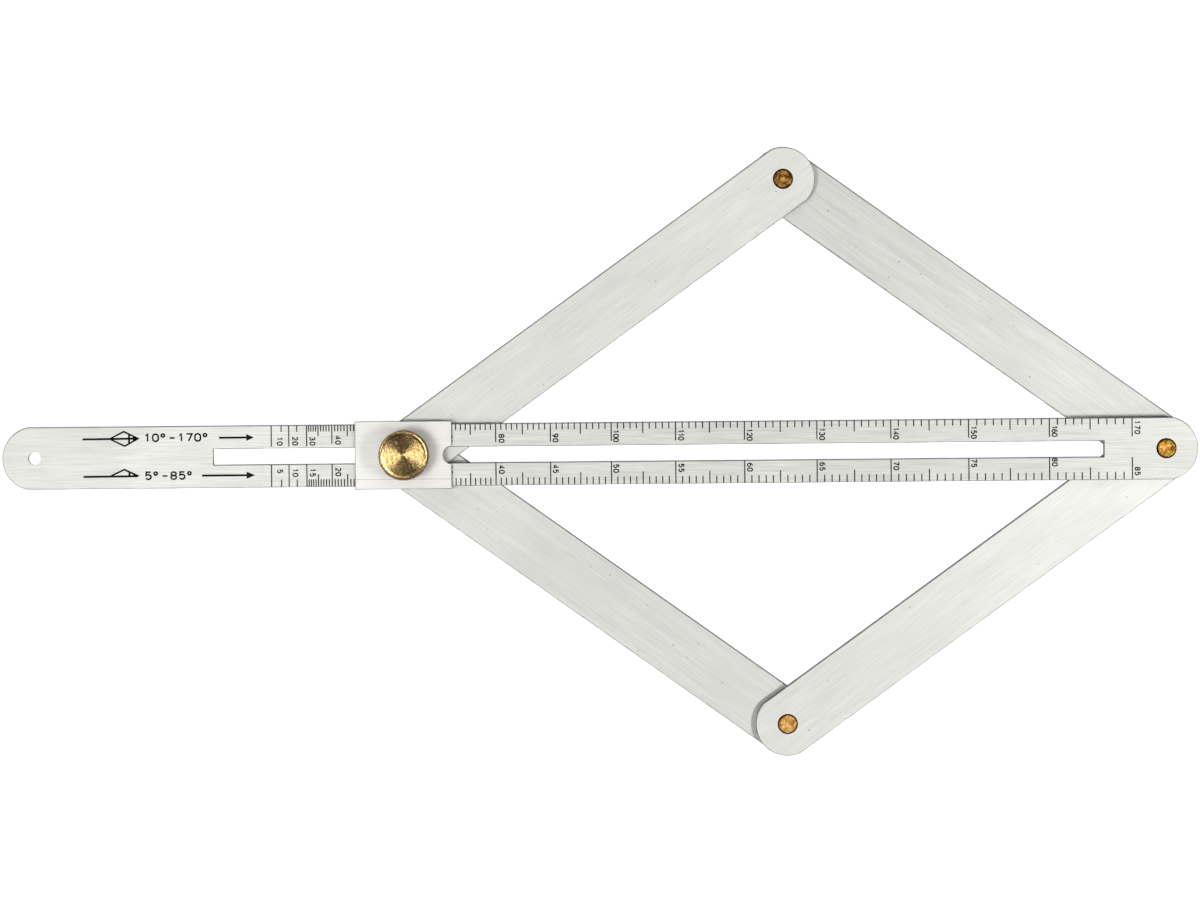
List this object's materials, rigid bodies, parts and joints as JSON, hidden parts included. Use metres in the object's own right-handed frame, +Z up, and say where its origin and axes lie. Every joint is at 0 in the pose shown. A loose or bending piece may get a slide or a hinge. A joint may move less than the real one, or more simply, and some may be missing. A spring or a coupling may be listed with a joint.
{
  "type": "angle finder",
  "caption": "Flat aluminium angle finder and bisector: slotted scale ruler, rhombus of riveted link arms, channel slider and knurled brass clamp knob.",
  "frame": {"origin": "on the table under the mid-length of the scale ruler, on its centre line", "axes": "+X along the ruler towards the end that the arms are riveted to, +Z up through the stack of strips"},
  "size_m": [0.3828, 0.1954, 0.0176],
  "materials": {
    "brushed_aluminium": "brushed along each strip, clear anodised",
    "slider_aluminium": "extruded, satin",
    "turned_brass": "turned and knurled",
    "rivet_brass": "hammered, slightly tarnished",
    "washer_nylon": "natural nylon"
  },
  "bodies": {
    "ruler": {"scale_ruler": "brushed_aluminium", "ruler_rivet": "rivet_brass", "ruler_pivot_washer_upper": "washer_nylon"},
    "upper_right_arm": {"upper_right_arm": "brushed_aluminium", "ruler_pivot_washer_lower": "washer_nylon", "top_pivot_washer": "washer_nylon"},
    "upper_left_arm": {"upper_left_arm": "brushed_aluminium", "top_rivet": "rivet_brass", "clamp_washer_lower": "washer_nylon"},
    "lower_right_arm": {"lower_right_arm": "brushed_aluminium", "bottom_rivet": "rivet_brass"},
    "lower_left_arm": {"lower_left_arm": "brushed_aluminium", "bottom_pivot_washer": "washer_nylon"},
    "slider": {"slider": "slider_aluminium", "clamp_screw": "rivet_brass", "clamp_washer_upper": "washer_nylon"},
    "knob_washer": {"knob_washer": "turned_brass"},
    "clamp_knob": {"clamp_knob": "turned_brass"}
  },
  "joints": [
    {"name": "arm_spread", "type": "hinge", "parent": "ruler", "child": "upper_right_arm", "pos_m": [0.1812, 0, 0], "axis": [0, 0, 1], "range_deg": [-49.83, 30.67]},
    {"name": "top_pivot", "type": "hinge", "parent": "upper_right_arm", "child": "upper_left_arm", "pos_m": [0.05934, 0.08747, 0], "axis": [0, 0, 1], "range_deg": [-61.36, 99.68]},
    {"name": "slider_pivot", "type": "hinge", "parent": "upper_left_arm", "child": "slider", "pos_m": [-0.06252, 0, 0], "axis": [0, 0, 1], "range_deg": [-49.85, 30.69]},
    {"name": "lower_ruler_pivot", "type": "hinge", "parent": "ruler", "child": "lower_right_arm", "pos_m": [0.1812, 0, 0], "axis": [0, 0, 1], "range_deg": [-30.69, 49.85]},
    {"name": "bottom_pivot", "type": "hinge", "parent": "lower_right_arm", "child": "lower_left_arm", "pos_m": [0.05934, -0.08747, 0], "axis": [0, 0, 1], "range_deg": [-99.68, 61.36]},
    {"name": "knob_lift", "type": "slide", "parent": "slider", "child": "knob_washer", "axis": [0, 0, 1], "range_m": [-0.00001, 0.00161]},
    {"name": "knob_turn", "type": "hinge", "parent": "knob_washer", "child": "clamp_knob", "pos_m": [-0.06252, 0, 0], "axis": [0, 0, 1], "range_deg": [0, 720]}
  ],
  "couplings": [
    {"joint": "top_pivot", "follows": "arm_spread", "ratio": -2},
    {"joint": "slider_pivot", "follows": "arm_spread", "ratio": 1},
    {"joint": "lower_ruler_pivot", "follows": "arm_spread", "ratio": -1},
    {"joint": "bottom_pivot", "follows": "arm_spread", "ratio": 2},
    {"joint": "knob_lift", "follows": "knob_turn", "m_per_rad": 0.00012732}
  ]
}
